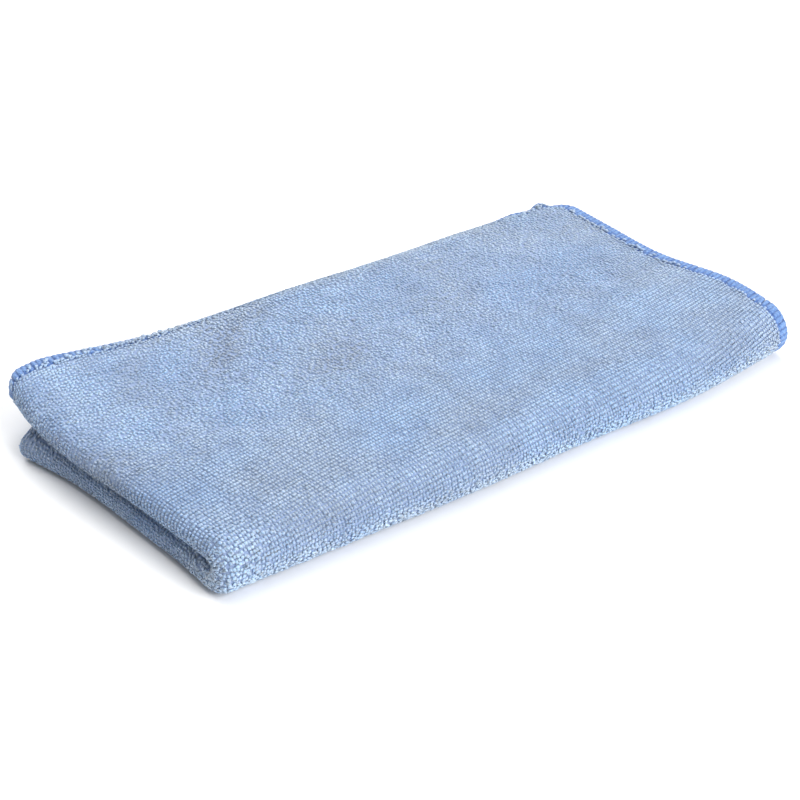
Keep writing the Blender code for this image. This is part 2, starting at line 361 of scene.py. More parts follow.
def flat_map(piece, u, v):
    """A UV map that lays the piece out flat, from a place for each of its corners."""
    layer = piece.data.uv_layers.new(name="OFBake")
    corner = np.empty(len(piece.data.loops), dtype=np.int32)
    piece.data.loops.foreach_get("vertex_index", corner)
    layer.data.foreach_set("uv", np.stack([u, v], axis=1)[corner].astype(np.float32).ravel())


def knitted_ground():
    """The panel as one closed sheet: an outer and an inner face, joined round the raw edge. It thins to the
    bare knit under the modelled loops, and to less than that where the edging's yarn holds it."""
    flat, (rows, columns) = flat_grid(GROUND_MARGIN)
    count, full = rows * columns, CLOTH_THICKNESS / 2
    u, v = flat[:, 0], flat[:, 1]
    held = np.clip(1 - (edge_distance(u, v) - HELD_WITHIN) / HELD_FADE, 0.0, 1.0)
    outer, inner = flat.copy(), flat.copy()
    outer[:, 2] = full - (full - GROUND_FACE) * np.maximum(piled(u, v), held)
    inner[:, 2] = -full + (full - GROUND_FACE) * np.maximum(piled_inside(u, v), held)
    outer[:, 2] -= (GROUND_FACE - HELD_FACE) * held
    inner[:, 2] += (GROUND_FACE - HELD_FACE) * held
    grid = np.arange(count).reshape(rows, columns)
    quads = np.stack([grid[:-1, :-1], grid[1:, :-1], grid[1:, 1:], grid[:-1, 1:]], axis=-1)
    quads = quads.reshape(-1, 4)
    rim = np.concatenate([grid[0, :-1], grid[:-1, -1], grid[-1, :0:-1], grid[:0:-1, 0]])
    onward = np.roll(rim, -1)
    wall = np.stack([rim, onward, onward + count, rim + count], axis=1)
    points = lay(np.concatenate([outer, inner]))
    piece = make_piece("knitted_ground", points, [quads, quads[:, ::-1] + count, wall])
    half_map = np.repeat([0.0, 0.5], count)
    flat_map(piece, half_map + 0.5 * np.tile(u, 2) / CLOTH_SIDE, np.tile(v, 2) / CLOTH_SIDE)
    return piece


class Shade:
    """An output of a material's nodes, so that shader maths is written as Python expressions."""

    def __init__(self, tree, socket=None):
        self.tree, self.socket = tree, socket

    def node(self, kind, settings, sockets, output=0):
        """Adds a node: its settings first, then the values or links of its sockets. Gives one output."""
        made = self.tree.nodes.new("ShaderNode" + kind)
        for name, value in settings.items():
            setattr(made, name, value)
        for name, value in sockets.items():
            if isinstance(value, Shade):
                self.tree.links.new(value.socket, made.inputs[name])
            else:
                made.inputs[name].default_value = value
        return Shade(self.tree, made.outputs[output] if made.outputs else None)

    def maths(self, operation, first, second=0.0):
        """Two values put through one operation of the Math node."""
        return self.node("Math", {"operation": operation}, {0: first, 1: second})

    def __add__(self, other):
        return self.maths("ADD", self, other)

    def __radd__(self, other):
        return self.maths("ADD", other, self)

    def __sub__(self, other):
        return self.maths("SUBTRACT", self, other)

    def __rsub__(self, other):
        return self.maths("SUBTRACT", other, self)

    def __mul__(self, other):
        return self.maths("MULTIPLY", self, other)

    def __rmul__(self, other):
        return self.maths("MULTIPLY", other, self)

    def within(self, low, high):
        """0 below low, 1 above high, and even between."""
        limits = {"From Min": low, "From Max": high}
        return self.node("MapRange", {}, {"Value": self, **limits})

    def mix(self, first, second):
        """Two colours mixed by this share of the second."""
        return self.node("Mix", {"data_type": "RGBA"}, {0: self, 6: first, 7: second}, output=2)


def new_material(name):
    """An empty material, and the start of its shader maths."""
    material = bpy.data.materials.new(name)
    material.use_nodes = True
    material.node_tree.nodes.clear()
    return material, Shade(material.node_tree)


def screen_colour(red, green, blue):
    """Linear colour for a colour as a screen shows it, 0 to 255: the sRGB curve undone."""
    shares = np.array([red, green, blue]) / 255
    linear = np.where(shares <= 0.04045, shares / 12.92, ((shares + 0.055) / 1.055) ** 2.4)
    return (*linear.tolist(), 1.0)


# KNIT_GAP_SHADE is painted shade: the ground's colour darkens towards the gaps between its stitches
KNIT_FACE, KNIT_GAP_SHADE = screen_colour(142, 161, 195), screen_colour(128, 148, 183)
KNIT_STITCH = 0.0009              # size of one stitch of the ground
GAP_SHARE, KNIT_PATCH_SHARE = 0.8, 0.4      # of the stitches and of broad patches in the ground's tone


def knit_material():
    """Jersey as it shows between the loops: small round stitches, deeper in their gaps and darker there by
    painted shade.
    """
    material, start = new_material("knitted microfibre ground")
    place = start.node("TexCoord", {}, {}, output=3)
    gaps = start.node("TexVoronoi", {}, {"Vector": place, "Scale": 1 / KNIT_STITCH, "Randomness": 0.6})
    patches = start.node("TexNoise", {}, {"Vector": place, "Scale": 60.0, "Detail": 2.0})
    tone = (gaps * GAP_SHARE + patches * KNIT_PATCH_SHARE).mix(KNIT_FACE, KNIT_GAP_SHADE)
    relief = start.node("Bump", {}, {"Strength": 0.6, "Distance": 0.0004, "Height": 1 - gaps})
    surface = start.node("BsdfPrincipled", {}, {
        "Base Color": tone, "Roughness": 0.95, "Normal": relief,
        "Sheen Weight": 0.25, "Sheen Roughness": 0.5, "Specular IOR Level": 0.2,
    })
    start.node("OutputMaterial", {}, {"Surface": surface})
    return material


ground = knitted_ground()
ground.data.materials.append(knit_material())
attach(ground, "root")
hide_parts("cloth")

# ---------------------------------------------------------------------------------------------------------
# Pile loops
# The plush yarn of the knit stands out of the ground as rows of small arches, side by side along each rib.
# Each is a soft bundle of microfibre filaments; brushing leans them in patches, and bends open their rows.

PILE_PIECES = [
    # name, outer face (1) or inner (-1), first and last u, first and last v, rings of corners in each loop
    ("pile_top_left", 1, 0.100, 0.230, 0.000, 0.093, 4),
    ("pile_top_right", 1, 0.000, 0.100, 0.000, 0.093, 4),
    ("pile_front_fold", 1, 0.000, 0.230, 0.093, 0.107, 4),
    ("pile_beneath_left", 1, 0.100, 0.230, 0.107, 0.193, 3),
    ("pile_beneath_right", 1, 0.000, 0.100, 0.107, 0.193, 3),
    ("pile_back_folds", 1, 0.000, 0.400, 0.193, 0.210, 3),
    ("pile_overhang", 1, 0.230, 0.400, 0.000, 0.030, 3),
    ("pile_lower_layer", -1, 0.000, 0.085, 0.380, 0.400, 3),
]

LOOP_PITCH, RIB_PITCH = 0.00093, 0.00128    # along a rib, and from one rib to the next
RIB_SKEW = 0.12                             # the ribs run off the fold by this share of their length
RIB_SWAY, RIB_WAVE = 0.0012, 0.031          # how far each rib wanders, and length per radian of its wave
LOOP_SWAY, LOOP_WAVE = 0.0008, 0.027        # and the same for the rows of loops across the ribs
LEAST_STRAY = 0.00006                       # every loop is this much out of its column and its rib
COLUMN_STRAY, RIB_STRAY = 0.00016, 0.00018  # and a loose or fluffy one this much more
LEFT_PULL, LEFT_PULL_REACH = 0.8, 0.035     # but the left fold pulls the columns straight by this share

# How far inside the cloth's outline the loops start, and how much that varies from loop to loop; on the back
# edge they lie over the edging, by a margin that changes from right to left
PILE_MARGIN, RAGGED = 0.0046, 0.0003
BACK_MARGIN = (0.0046, 0.0012, 0.0006, 0.0006, 0.0006, 0.0006, 0.0014, 0.0028, 0.0042)
BACK_RAGGED, MOST_RAGGED = 0.0007, 1.5      # the most is a multiple of the usual

# Before the front fold the ribs lie in line from one distance to another, and fall out of line over a reach
TIDY_FROM, TIDY_TO = 0.028, 0.004
TIDY_REACH, FOLD_REACH = 0.022, 0.003       # on the top, and on the fold itself

# Bending opens the pile from the middle of the front fold onwards and round its left corner
FLUFF_START, FLUFF_LENGTH, FLUFF_FADE = 0.004, 0.030, 0.010
FLUFF_ALONG, FLUFF_ACROSS = 0.016, 0.014

# Marks on the pile as it lies on the pad. Their paler part is painted light and shade: highlights on ridges
# and on the roll down to the left end, shade along the troughs and on the left end. Their bluer part shifts
# the hue
PAINTED_LIGHT_AND_BRUSH_MARKS = [
    # middle x and y, heading in degrees from +X, half length, half width, paler, bluer
    (-0.087, 0.024, 90, 0.030, 0.007, 1.4, 0.0),
    (-0.091, -0.014, 90, 0.020, 0.008, -0.8, 0.0),
    (-0.102, 0.004, 90, 0.060, 0.006, -1.0, 0.2),
    (-0.091, -0.052, 0, 0.010, 0.008, 0.7, 0.0),
    (-0.069, 0.036, 28, 0.012, 0.003, -0.9, 0.0),
    (-0.067, 0.041, 20, 0.009, 0.004, 0.8, 0.0),
    (-0.073, 0.029, 48, 0.017, 0.005, -0.2, -1.3),
    (-0.061, 0.026, 50, 0.016, 0.004, 0.0, 0.7),
    (-0.050, 0.037, 50, 0.009, 0.006, 0.7, 0.2),
    (-0.043, 0.028, 42, 0.024, 0.004, -1.0, -1.1),
    (-0.045, 0.029, 20, 0.006, 0.003, -0.9, 0.0),
    (-0.025, 0.026, 38, 0.024, 0.006, 0.1, 0.9),
    (-0.022, 0.020, 0, 0.006, 0.005, 0.7, 0.0),
    (-0.007, 0.027, 90, 0.006, 0.004, 0.8, 0.0),
    (-0.004, 0.038, 0, 0.016, 0.004, 0.6, 0.0),
    (0.019, 0.026, 35, 0.010, 0.005, -0.9, 0.0),
    (-0.020, 0.004, 5, 0.010, 0.005, -0.8, -0.3),
    (-0.038, 0.007, 15, 0.010, 0.005, 0.6, 0.1),
    (0.004, 0.003, 60, 0.006, 0.004, 0.7, -0.6),
    (0.026, 0.006, 0, 0.009, 0.004, 0.4, 0.0),
    (-0.055, -0.028, 60, 0.014, 0.010, 0.1, -0.8),
    (-0.054, -0.021, 20, 0.007, 0.004, 0.7, 0.0),
    (0.077, -0.005, 20, 0.009, 0.004, -1.0, -0.2),
    (0.056, -0.016, 20, 0.014, 0.005, -0.4, 0.0),
    (0.079, -0.019, 18, 0.014, 0.004, 0.8, 0.2),
    (0.070, 0.028, -38, 0.010, 0.005, 0.8, -0.5),
    (0.076, 0.027, -30, 0.010, 0.007, 0.0, -0.8),
    (0.062, 0.006, 12, 0.026, 0.007, -0.3, 0.9),
    (0.087, 0.010, 80, 0.012, 0.004, 0.3, 0.0),
    (0.030, -0.040, 0, 0.055, 0.005, -0.4, -0.6),
    (0.035, -0.052, 2, 0.060, 0.008, 0.1, 0.9),
    (0.000, 0.046, 0, 0.080, 0.006, 0.5, -0.9),
]


def painted_light_and_brush_marks(x, y):
    """How much paler, by painted light and shade, and bluer than the rest the pile looks at a place: for each
    mark, its strength times a bell curve along and across it."""
    paler, bluer = np.zeros_like(x), np.zeros_like(x)
    for middle_x, middle_y, heading, half_length, half_width, pale, blue in PAINTED_LIGHT_AND_BRUSH_MARKS:
        share = bell(x - middle_x, y - middle_y, heading, half_length, half_width)
        paler += pale * share
        bluer += blue * share
    return paler, bluer


def laid_length(direction, places):
    """Length over the pad's outer face from the raw edge: in each bend it grows as the outer radius over
    the middle one."""
    length = np.array(places, dtype=float)
    for halved, place, layers in FOLDS:
        if halved == direction:
            radius = layers * LAYER_PITCH / 2
            outer = (layers - 0.5) * LAYER_PITCH + CLOTH_THICKNESS / 2
            bent = np.clip(places - place + math.pi * radius / 2, 0.0, math.pi * radius)
            length += (outer / radius - 1) * bent
    return length


PLACE_SAMPLES = 4001


def flat_place(direction, length):
    """The place in the flat cloth that has a laid length."""
    places = np.linspace(0.0, CLOTH_SIDE, PLACE_SAMPLES)
    return np.interp(length, laid_length(direction, places), places)


PATCH_ALONG, PATCH_ACROSS = 0.020, 0.017


def brushed(a, b, seed):
    """A smooth field of about -1 to 1 over the laid cloth, in patches of a few centimetres: a sum of sines
    whose waves bend one another."""
    x, y = a / PATCH_ALONG + seed, b / PATCH_ACROSS + 2 * seed
    return 0.5 * np.sin(x + 1.4 * np.sin(0.7 * y)) + 0.5 * np.sin(1.1 * y + 1.6 * np.sin(0.6 * x + seed))


def looseness(a, b):
    """0 in the band before the front fold, which pulls the ribs straight, and 1 well away from it: one less
    a bell curve of the distance, which is a narrow one on the fold itself."""
    front = laid_length(ACROSS, CLOTH_SIDE / 4)
    outside = np.maximum(np.maximum(front - TIDY_FROM - b, b - front + TIDY_TO), 0.0)
    reach = np.where(b < front - TIDY_TO, TIDY_REACH, FOLD_REACH)
    return 1 - np.exp(-((outside / reach) ** 2))


def fluffiness(a, b):
    """1 where bending opens the pile, on the lower half of the front fold and all round its left corner,
    and 0 elsewhere: an even step over the fold or a bell curve round the corner, whichever is more."""
    front, left = laid_length(ACROSS, CLOTH_SIDE / 4), laid_length(ALONG, CLOTH_SIDE / 2)
    opened = np.clip((b - front) / FLUFF_START + 0.5, 0.0, 1.0)
    closed = share_past(front + FLUFF_LENGTH - b, FLUFF_FADE)
    corner = np.exp(-(((a - left) / FLUFF_ALONG) ** 2) - ((b - front) / FLUFF_ACROSS) ** 2)
    return np.maximum(opened * closed, corner)


def pile_margin(u, v):
    """How far inside the outline the loops start, and how much that varies: where the pad's back edge
    rolls down, its first raw edge is hidden by loops that lie over the edging."""
    back = (v < EDGE_REACH) & (u < PAD_LENGTH)
    margin = np.where(back, smooth_table(BACK_MARGIN, u / PAD_LENGTH), PILE_MARGIN)
    return margin, np.where(back, BACK_RAGGED, RAGGED)


def plant_loops(rng):
    """Middle of each loop's foot, in laid lengths (a, b): a grid of ribs that drift and wander across the
    cloth, each loop a little out of its place."""
    a_end, b_end = (float(laid_length(direction, CLOTH_SIDE)) for direction in (ALONG, ACROSS))
    columns, ribs = np.arange(0.0, a_end, LOOP_PITCH), np.arange(-RIB_SKEW * a_end, b_end, RIB_PITCH)
    a, b = np.meshgrid(columns, ribs, indexing="ij")
    b = b + RIB_SKEW * a + RIB_SWAY * np.sin(a / RIB_WAVE)
    a = a + LOOP_SWAY * np.sin(b / LOOP_WAVE)
    a, b = a.ravel(), b.ravel()
    loose, fluffy = looseness(a, b), fluffiness(a, b)
    left_fold = np.exp(-(((a - laid_length(ALONG, CLOTH_SIDE / 2)) / LEFT_PULL_REACH) ** 2))
    out_of_column = LEAST_STRAY + COLUMN_STRAY * np.maximum(loose * (1 - LEFT_PULL * left_fold), fluffy)
    out_of_rib = LEAST_STRAY + RIB_STRAY * np.maximum(loose, fluffy)
    a = a + out_of_column * rng.standard_normal(a.size)
    b = b + out_of_rib * rng.standard_normal(a.size)
    u, v = flat_place(ALONG, a), flat_place(ACROSS, b)
    margin, ragged = pile_margin(u, v)
    margin = margin + ragged * rng.standard_normal(a.size).clip(-MOST_RAGGED, MOST_RAGGED)
    shown = np.maximum(piled(u, v), piled_inside(u, v)) > 0.5
    kept = shown & (edge_distance(u, v) > margin) & (b > 0)
    return a[kept], b[kept], u[kept], v[kept]


# The arch of one loop's yarn, and the ring of three corners that goes round the yarn
LOOP_SPAN, LOOP_RISE = 0.00070, 0.00019     # of the yarn's middle, from foot to foot and over the ground
FIRST_FOOT, LAST_FOOT = 0.06, 0.94          # the arch from foot to foot, as shares of half a turn
YARN_RADIUS = 0.00031
END_RADIUS, CROWN_SWELL = 0.80, 0.30        # share of it at the ends of a half turn; more at the crown
RING_ANGLES = (30.0, 150.0, 270.0)          # degrees: two corners outwards and one inwards
RING_HEIGHT, RING_WIDTH = 1.10, 1.36        # so that three corners fill what a round yarn would

# How the loops differ. Each is loose, fluffy and combed by shares of 0 to 1, which add to its size, to the
# share of the usual rise it has and to how unruly it is; the rest is random.
USUAL_SIZE, LOOSE_SIZE, FLUFFY_SIZE, COMBED_SIZE, SIZE_SPREAD = 1.05, -0.05, 0.20, 0.25, 0.10
LEAST_SIZE, MOST_SIZE = 0.70, 1.40
LOOSE_RISE, FLUFFY_RISE, FLUFFY_SPREAD = -0.30, 0.30, 0.30
LEAST_SPREAD, MOST_SPREAD = -1.0, 1.5       # limits of the random part of a fluffy loop's rise
USUAL_UNRULY, LOOSE_UNRULY, FLUFFY_UNRULY = 0.12, 0.33, 0.35
BRUSHED_TURN, BRUSHED_ALONG, BRUSHED_ACROSS = 0.6, 0.6, 0.5    # radians, and leans as shares of the height
UNRULY_LEAN, COMBED_LEAN = 0.7, -0.8

# Loops nearer to the outline than this lie over the edging: they are lifted on to it, less so over the length
# of the fade, and along the back edge they are also combed outwards
OVER_EDGING_TO, OVER_EDGING_FADE, EDGING_LIFT = 0.0036, 0.0015, 0.00035


def yarn_arches(a, b, rings, rng):
    """Corners (loop, ring, corner, 3) of one arch at each foot, in laid lengths and height.

    Over half a turn the yarn's middle goes -cos(turn) times half the span across the rib and sin(turn)
    times the rise up. Round it stands a ring of three corners, two of them outwards, whose radius swells
    towards the crown. The arch is then turned about its foot and leans by a share of its height.
    """
    count, loose, fluffy = a.size, looseness(a, b), fluffiness(a, b)
    inside = edge_distance(flat_place(ALONG, a), flat_place(ACROSS, b))
    over_edging = np.clip(1 - (inside - OVER_EDGING_TO) / OVER_EDGING_FADE, 0.0, 1.0)
    combed = over_edging * (b < EDGE_REACH)
    turn = np.linspace(FIRST_FOOT, LAST_FOOT, rings)[None, :, None] * math.pi
    ring = np.radians(RING_ANGLES)[None, None, :]
    size = USUAL_SIZE + LOOSE_SIZE * loose + FLUFFY_SIZE * fluffy + COMBED_SIZE * combed
    size = size + SIZE_SPREAD * rng.standard_normal(count)
    size = size.clip(LEAST_SIZE, MOST_SIZE)[:, None, None]
    radius = YARN_RADIUS * size * (END_RADIUS + CROWN_SWELL * np.sin(turn))
    out = RING_HEIGHT * radius * np.sin(ring)
    side = RING_WIDTH * radius * np.cos(ring)
    span = -np.cos(turn) * (LOOP_SPAN / 2 * size + out)
    spread = FLUFFY_SPREAD * rng.standard_normal(count).clip(LEAST_SPREAD, MOST_SPREAD)
    stand = 1 + LOOSE_RISE * loose + fluffy * (FLUFFY_RISE + spread)
    rise = np.sin(turn) * (LOOP_RISE * size * stand[:, None, None] + out)
    unruly = USUAL_UNRULY + LOOSE_UNRULY * loose + FLUFFY_UNRULY * fluffy
    heading = loose * BRUSHED_TURN * brushed(a, b, seed=1.0) + unruly * rng.standard_normal(count)
    lean_a = loose * BRUSHED_ALONG * brushed(a, b, seed=2.7)
    lean_a = lean_a + UNRULY_LEAN * unruly * rng.standard_normal(count)
    lean_b = loose * BRUSHED_ACROSS * brushed(a, b, seed=4.1) + COMBED_LEAN * combed
    lean_b = lean_b + UNRULY_LEAN * unruly * rng.standard_normal(count)
    heading, lean_a, lean_b = (value[:, None, None] for value in (heading, lean_a, lean_b))
    along = side * np.cos(heading) - span * np.sin(heading) + lean_a * rise
    across = side * np.sin(heading) + span * np.cos(heading) + lean_b * rise
    height = GROUND_FACE + EDGING_LIFT * over_edging[:, None, None] + rise
    return np.stack([a[:, None, None] + along, b[:, None, None] + across, height], axis=-1)


def arch_faces(count, rings, face):
    """Faces of many arches of rings of three corners: the sides as quads and the two feet as triangles,
    turned round for the cloth's inner face."""
    first = np.arange(count)[:, None, None] * rings * 3
    ring, corner = np.arange(rings - 1)[None, :, None] * 3, np.arange(3)[None, None, :]
    low, onward = first + ring + corner, first + ring + (corner + 1) % 3
    sides = np.stack([low, low + 3, onward + 3, onward], axis=-1).reshape(-1, 4)
    foot = first[:, 0] + np.arange(3)
    return [group[:, ::face] for group in (sides, foot, (foot + 3 * (rings - 1))[:, ::-1])]


PILE_GREY, PILE_BLUE = screen_colour(147, 167, 195), screen_colour(141, 170, 211)
BLUER_SHARE, BROAD_SHARE = 0.5, 3.0         # how far a mark and the broad patches move the hue to blue
SMALL_SHARE, YARN_SHARE = 2.8, 0.5          # how much small patches and each yarn's tint count beside a mark
PALER_SHARE = 0.24                # a fully paler mark is this much brighter
FOOT_SHADE = 0.97                 # painted shade at the feet of the loops, as a share of the crowns' brightness
CROWN_START = 1.2                 # the crown's brightness is reached at one over this of the height


def pile_material():
    """Microfibre plush: paler at the crowns than at the feet by painted shade, no two loops quite alike,
    mottled by marks of painted light and shade, and by patches from a greyer blue to a clearer one."""
    material, start = new_material("microfibre plush yarn")
    place = start.node("TexCoord", {}, {}, output=3)
    crown, yarn, paler, bluer = (
        start.node("Attribute", {"attribute_name": name}, {}, output=2)
        for name in ("crown", "yarn", "paler", "bluer")
    )
    broad = start.node("TexNoise", {}, {"Vector": place, "Scale": 45.0, "Detail": 2.0})
    small = start.node("TexNoise", {}, {"Vector": place, "Scale": 120.0, "Detail": 1.0})
    hue = (0.5 + bluer * BLUER_SHARE + (broad - 0.5) * BROAD_SHARE).mix(PILE_GREY, PILE_BLUE)
    # the paler attribute is painted light and shade, from the marks and from the open pile
    mottle = 1 + (paler + (small - 0.5) * SMALL_SHARE + (yarn - 0.5) * YARN_SHARE) * PALER_SHARE
    # painted shade: each loop darkens from its crown down to its feet
    shade = (crown * CROWN_START).within(0.0, 1.0) * (1 - FOOT_SHADE) + FOOT_SHADE
    multiply = {"data_type": "RGBA", "blend_type": "MULTIPLY"}
    tone = start.node("Mix", multiply, {0: 1.0, 6: hue, 7: mottle * shade}, output=2)
    filaments = start.node("TexNoise", {}, {"Vector": place, "Scale": 4200.0, "Detail": 1.0})
    relief = start.node("Bump", {}, {"Strength": 0.5, "Distance": 0.0001, "Height": filaments})
    surface = start.node("BsdfPrincipled", {}, {
        "Base Color": tone, "Roughness": 0.9, "Normal": relief,
        "Subsurface Weight": 0.85, "Subsurface Radius": (1.0, 1.0, 1.0), "Subsurface Scale": 0.0009,
        "Sheen Weight": 0.3, "Sheen Roughness": 0.45, "Specular IOR Level": 0.25,
    })
    start.node("OutputMaterial", {}, {"Surface": surface})
    return material


PILE_SEED = 11
FLUFFY_HIGHLIGHT, FLUFFY_BLUER = 0.9, -0.8      # painted highlight where the pile is open: this much paler, and this much greyer in hue

pile_yarn = pile_material()
rng = np.random.default_rng(PILE_SEED)
roots_a, roots_b, roots_u, roots_v = plant_loops(rng)
for name, face, first_u, last_u, first_v, last_v, rings in PILE_PIECES:
    shown = piled(roots_u, roots_v) if face > 0 else piled_inside(roots_u, roots_v)
    here = (roots_u >= first_u) & (roots_u < last_u) & (roots_v >= first_v) & (roots_v < last_v)
    here &= shown > 0.5
    arches = yarn_arches(roots_a[here], roots_b[here], rings, rng)
    shape, arches = arches.shape, arches.reshape(-1, 3)
    u, v = flat_place(ALONG, arches[:, 0]), flat_place(ACROSS, arches[:, 1])
    flat = np.stack([u, v, face * arches[:, 2]], axis=1)
    laid = lay(flat)
    piece = make_piece(name, laid, arch_faces(shape[0], rings, face))
    point_values(piece, "crown", share_past(arches[:, 2] - GROUND_FACE, LOOP_RISE + YARN_RADIUS))
    point_values(piece, "yarn", np.repeat(rng.random(shape[0]), rings * 3))
    # painted light and shade of the marks, and their hue, at each corner
    paler, bluer = painted_light_and_brush_marks(laid[:, 0], laid[:, 1])
    fluffy = fluffiness(arches[:, 0], arches[:, 1])
    # painted highlight on the open pile of the front fold and round its left corner
    point_values(piece, "paler", paler + FLUFFY_HIGHLIGHT * fluffy)
    point_values(piece, "bluer", bluer + FLUFFY_BLUER * fluffy)
    low, high = flat[:, :2].min(axis=0), flat[:, :2].max(axis=0)
    flat_map(piece, *((flat[:, :2] - low) / (high - low)).T)
    piece.data.materials.append(pile_yarn)
    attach(piece, "root")

# ---------------------------------------------------------------------------------------------------------
# Overlocked edging
# A brighter blue textured yarn is sewn over the raw edge all the way round by an overlock machine. Its close,
# fat wraps make a narrow ribbed band on both faces, with rounded corners.

EDGING_WIDTH, EDGING_THICKNESS = 0.0045, 0.0015
WRAP_PITCH = 0.00172
WRAP_HALF_THICKNESS = 0.00036
WRAP_HALF_WIDTH, WRAP_UNEVENNESS = 0.58, 0.12           # along the edge, as shares of the pitch
INWARD_REACH, INWARD_SPREAD = 0.0005, 0.00022           # how much further in the wraps go, give or take
TINT_SPREAD, BESIDE_PILE_SHADE = 0.12, 0.9       # how the ridge's brightness varies, and the painted shade that darkens it beside the pile
WRAP_STEPS, WRAP_CORNERS = 12, 6
EDGE_SAMPLES = 12001


def edge_place(length):
    """Place (u, v) on the middle line of the edging, and its heading, at a length along it: four sides in
    turn, each a straight run and then a quarter circle."""
    arc_radius = CORNER_RADIUS - EDGING_WIDTH / 2
    run = CLOTH_SIDE - 2 * CORNER_RADIUS
    side_length = run + math.pi / 2 * arc_radius
    side = np.floor(length / side_length)
    local = length - side * side_length
    turned = np.maximum(local - run, 0.0) / arc_radius
    along = CORNER_RADIUS + np.minimum(local, run) + arc_radius * np.sin(turned) - CLOTH_SIDE / 2
    out = EDGING_WIDTH / 2 + arc_radius * (1 - np.cos(turned)) - CLOTH_SIDE / 2
    quarter = side * math.pi / 2
    u = along * np.cos(quarter) - out * np.sin(quarter) + CLOTH_SIDE / 2
    v = along * np.sin(quarter) + out * np.cos(quarter) + CLOTH_SIDE / 2
    return u, v, quarter + turned, 4 * side_length


def overlock_wraps():
    """One yarn wound on and on round the flattened raw edge: its middle goes round an oval once for each
    pitch, and round that stands a ring of corners, wide along the edge and thin off it. The pitch is kept
    over the folded edge, so bends don't pull the wraps apart."""
    perimeter = edge_place(np.zeros(1))[3]
    samples = np.linspace(0.0, perimeter, EDGE_SAMPLES)
    u, v, _, _ = edge_place(samples % perimeter)
    steps = np.linalg.norm(np.diff(lay(np.stack([u, v, 0 * u], axis=1)), axis=0), axis=1)
    laid = np.concatenate([[0.0], np.cumsum(steps)])
    wraps = round(laid[-1] / WRAP_PITCH)
    pitch = laid[-1] / wraps
    step = np.arange(wraps * WRAP_STEPS)[:, None]
    ring = np.arange(WRAP_CORNERS)[None, :] * 2 * math.pi / WRAP_CORNERS
    turn = 2 * math.pi * step / WRAP_STEPS
    uneven, drawn, tint = (rng.standard_normal(wraps)[step // WRAP_STEPS] for _ in range(3))
    astray = WRAP_UNEVENNESS * uneven * np.sin(turn / 2) ** 2
    along = (step / WRAP_STEPS + WRAP_HALF_WIDTH * np.sin(ring) + astray) * pitch
    length = np.interp(along % laid[-1], laid, samples)
    u, v, heading, _ = edge_place(length % perimeter)
    further_in = (INWARD_REACH + INWARD_SPREAD * drawn) * np.cos(turn).clip(0.0, 1.0)
    half_width = EDGING_WIDTH / 2 - WRAP_HALF_THICKNESS + further_in
    half_height = EDGING_THICKNESS / 2 - WRAP_HALF_THICKNESS
    slope = np.hypot(np.cos(turn) / half_width, np.sin(turn) / half_height)
    off = WRAP_HALF_THICKNESS * np.cos(ring)
    inwards = half_width * np.cos(turn) + off * np.cos(turn) / half_width / slope
    height = half_height * np.sin(turn) + off * np.sin(turn) / half_height / slope
    flat = np.stack([u - np.sin(heading) * inwards, v + np.cos(heading) * inwards, height], axis=-1)
    count = step.size
    row, corner = np.arange(count)[:, None], np.arange(WRAP_CORNERS)[None, :]
    next_row, next_corner = (row + 1) % count, (corner + 1) % WRAP_CORNERS
    quads = np.stack([
        row * WRAP_CORNERS + corner, row * WRAP_CORNERS + next_corner,
        next_row * WRAP_CORNERS + next_corner, next_row * WRAP_CORNERS + corner,
    ], axis=-1).reshape(-1, 4)
    piece = make_piece("overlock_edging", lay(flat.reshape(-1, 3)), [quads])
    # Painted highlight and shade of the wraps: bright on each outer crest, darker on the flanks between wraps
    # and where a wrap turns in beside the pile
    beside_pile = np.cos(turn).clip(0.0, 1.0) ** 2
    ridge = 2 * np.cos(ring) - 1 + TINT_SPREAD * tint - BESIDE_PILE_SHADE * beside_pile
    point_values(piece, "ridge", ridge.ravel())
    return piece


# the lit top of a wrap, and the painted shade between wraps
WRAP_TOP, WRAP_GAP_SHADE = screen_colour(118, 152, 200), screen_colour(66, 98, 158)
RIDGE_SHARE, FUZZ_SHARE, PATCH_SHARE, LEAST_SHARE = 0.45, 2.4, 0.3, 0.2     # of the way from gap to top


def edging_material():
    """Textured polyester yarn: a painted highlight on each wrap's ridge, painted shade of a deeper blue
    between wraps and beside the pile, softly fuzzy.
    """
    material, start = new_material("overlock yarn")
    place = start.node("TexCoord", {}, {}, output=3)
    ridge = start.node("Attribute", {"attribute_name": "ridge"}, {}, output=2)
    fuzz = start.node("TexNoise", {}, {"Vector": place, "Scale": 1600.0, "Detail": 2.0})
    patches = start.node("TexNoise", {}, {"Vector": place, "Scale": 70.0, "Detail": 1.0})
    share = ridge * RIDGE_SHARE + (fuzz - 0.5) * FUZZ_SHARE + patches * PATCH_SHARE + LEAST_SHARE
    tone = share.mix(WRAP_GAP_SHADE, WRAP_TOP)
    relief = start.node("Bump", {}, {"Strength": 1.0, "Distance": 0.0004, "Height": fuzz})
    surface = start.node("BsdfPrincipled", {}, {
        "Base Color": tone, "Roughness": 0.75, "Normal": relief,
        "Sheen Weight": 0.2, "Sheen Roughness": 0.4, "Specular IOR Level": 0.3,
    })
    start.node("OutputMaterial", {}, {"Surface": surface})
    return material


edging = overlock_wraps()
edging.data.materials.append(edging_material())
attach(edging, "root")
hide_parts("edging")

# ---------------------------------------------------------------------------------------------------------
# Floor, light and camera
# A plain pale floor under a soft white sky, with broad lamps in front, overhead and behind, and the camera
# where the photograph was taken from.

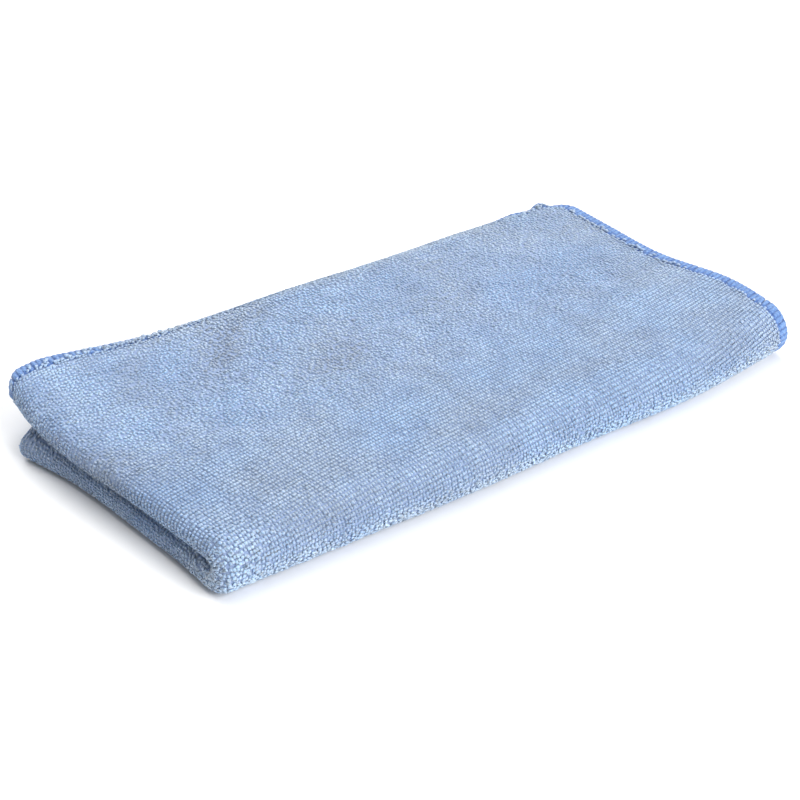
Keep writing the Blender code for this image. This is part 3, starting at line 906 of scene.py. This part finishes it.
FLOOR_SIDE = 6.0
FLOOR_WHITE = (0.90, 0.90, 0.90, 1.0)
SKY_STRENGTH = 0.30
LAMPS = [
    # name, place, width, watts
    ("front lamp", (0.25, -1.25, 0.80), 1.0, 28.0),
    ("overhead lamp", (0.00, 0.00, 1.50), 1.5, 10.0),
    ("back lamp", (0.30, 1.10, 1.20), 1.5, 23.0),
]


def floor_material():
    """Matt white paper, faintly uneven."""
    material, start = new_material("white paper floor")
    place = start.node("TexCoord", {}, {}, output=3)
    grain = start.node("TexNoise", {}, {"Vector": place, "Scale": 900.0, "Detail": 2.0})
    relief = start.node("Bump", {}, {"Strength": 0.05, "Distance": 0.0001, "Height": grain})
    surface = start.node("BsdfPrincipled", {}, {
        "Base Color": FLOOR_WHITE, "Roughness": 0.9, "Normal": relief, "Specular IOR Level": 0.1,
    })
    start.node("OutputMaterial", {}, {"Surface": surface})
    return material


edge = FLOOR_SIDE / 2
floor_corners = np.array([[-edge, -edge, 0], [edge, -edge, 0], [edge, edge, 0], [-edge, edge, 0]])
floor = make_piece("floor", floor_corners, [np.array([[0, 1, 2, 3]])])
floor.data.materials.append(floor_material())

sky = bpy.data.worlds.new("soft white sky")
sky.use_nodes = True
sky.node_tree.nodes["Background"].inputs["Color"].default_value = (1.0, 1.0, 1.0, 1.0)
sky.node_tree.nodes["Background"].inputs["Strength"].default_value = SKY_STRENGTH
bpy.context.scene.world = sky


def aim(thing, place, target):
    """Puts a lamp or camera at a place, looking at a target."""
    thing.location = place
    looking = type(thing.location)(target) - thing.location
    thing.rotation_mode = "QUATERNION"
    thing.rotation_quaternion = looking.to_track_quat("-Z", "Y")


for name, place, width, watts in LAMPS:
    lamp = bpy.data.lights.new(name, "AREA")
    lamp.shape, lamp.size, lamp.energy = "SQUARE", width, watts
    light = bpy.data.objects.new(name, lamp)
    bpy.context.scene.collection.objects.link(light)
    aim(light, place, (0.0, 0.0, 0.0))

CAMERA_AZIMUTH, CAMERA_ELEVATION = math.radians(-37.78), math.radians(30.84)
CAMERA_DISTANCE = 0.4983
CAMERA_OFFSET = (-0.00223, -0.00231)        # rightwards and upwards
SENSOR_WIDTH, PHOTO_SIDE, FOCAL_PIXELS = 36.0, 800, 1741.6

backwards = np.array([
    math.sin(CAMERA_AZIMUTH) * math.cos(CAMERA_ELEVATION),
    -math.cos(CAMERA_AZIMUTH) * math.cos(CAMERA_ELEVATION),
    math.sin(CAMERA_ELEVATION),
])
rightwards = np.array([math.cos(CAMERA_AZIMUTH), math.sin(CAMERA_AZIMUTH), 0.0])
target = CAMERA_OFFSET[0] * rightwards + CAMERA_OFFSET[1] * np.cross(backwards, rightwards)
lens = bpy.data.cameras.new("camera")
lens.sensor_width, lens.lens = SENSOR_WIDTH, SENSOR_WIDTH * FOCAL_PIXELS / PHOTO_SIDE
lens.clip_start, lens.clip_end = 0.01, 20.0
camera = bpy.data.objects.new("camera", lens)
bpy.context.scene.collection.objects.link(camera)
aim(camera, target + CAMERA_DISTANCE * backwards, target)
bpy.context.scene.camera = camera
bpy.context.scene.view_settings.view_transform = "Standard"
